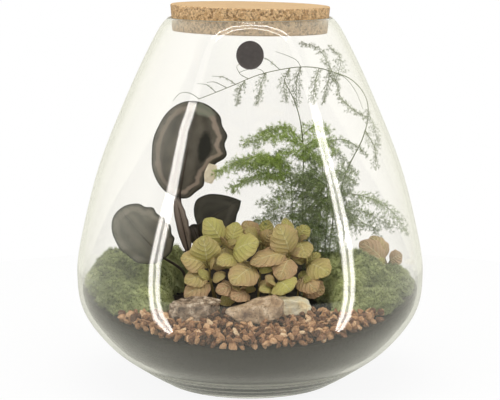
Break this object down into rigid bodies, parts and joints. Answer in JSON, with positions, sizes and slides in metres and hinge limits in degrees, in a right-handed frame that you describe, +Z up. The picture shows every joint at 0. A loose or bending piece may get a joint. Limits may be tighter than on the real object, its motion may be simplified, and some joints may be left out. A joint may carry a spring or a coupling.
{
  "type": "plant terrarium",
  "caption": "Drop-shaped glass vessel closed by a wide cork, planted with a dark-leaved prayer plant, a nerve plant, a fine asparagus fern, moss, stones and gravel on soil.",
  "frame": {"origin": "centre of the round foot, on the surface that the terrarium stands on", "axes": "+Z up through the cork, -Y towards the front with the gravel, the stones and the sticker, +X to the right seen from the front"},
  "size_m": [0.27, 0.27, 0.2937],
  "materials": {
    "glass": "clear blown glass",
    "cork": "pressed cork, smooth top and granular sides",
    "sticker": "plain dark coated paper",
    "soil": "damp dark potting soil",
    "gravel": "crushed pinkish-brown gravel",
    "grey_stone": "rough broken stone, grey-pink with specks",
    "cream_stone": "rough broken stone, cream",
    "moss": "living cushion moss",
    "dark_leaf": "satin dark leaf with a light ring and thin stalks",
    "nerve_leaf": "matt yellow-green to tan leaf with pale veins",
    "fern": "fine green needles on thin green stems"
  },
  "bodies": {
    "root": {"glass_vessel": "glass", "cork_stopper": "cork", "round_sticker": "sticker", "stone_left": "grey_stone", "stone_middle": "grey_stone", "stone_right": "cream_stone", "gravel": "gravel", "moss_left": "moss", "moss_right": "moss", "soil": "soil", "dark_leaf_tall": "dark_leaf", "dark_leaf_left": "dark_leaf", "dark_leaf_right": "dark_leaf", "dark_leaf_folded": "dark_leaf", "dark_leaf_small": "dark_leaf", "nerve_stem_1": "nerve_leaf", "nerve_stem_2": "nerve_leaf", "nerve_stem_3": "nerve_leaf", "nerve_stem_4": "nerve_leaf", "nerve_stem_5": "nerve_leaf", "nerve_stem_6": "nerve_leaf", "nerve_stem_7": "nerve_leaf", "nerve_stem_8": "nerve_leaf", "nerve_stem_9": "nerve_leaf", "nerve_stem_10": "nerve_leaf", "nerve_stem_back": "nerve_leaf", "fern_shoot_1": "fern", "fern_shoot_2": "fern", "fern_shoot_3": "fern", "fern_shoot_4": "fern", "fern_shoot_5": "fern", "fern_shoot_6": "fern", "fern_shoot_7": "fern"}
  },
  "joints": []
}
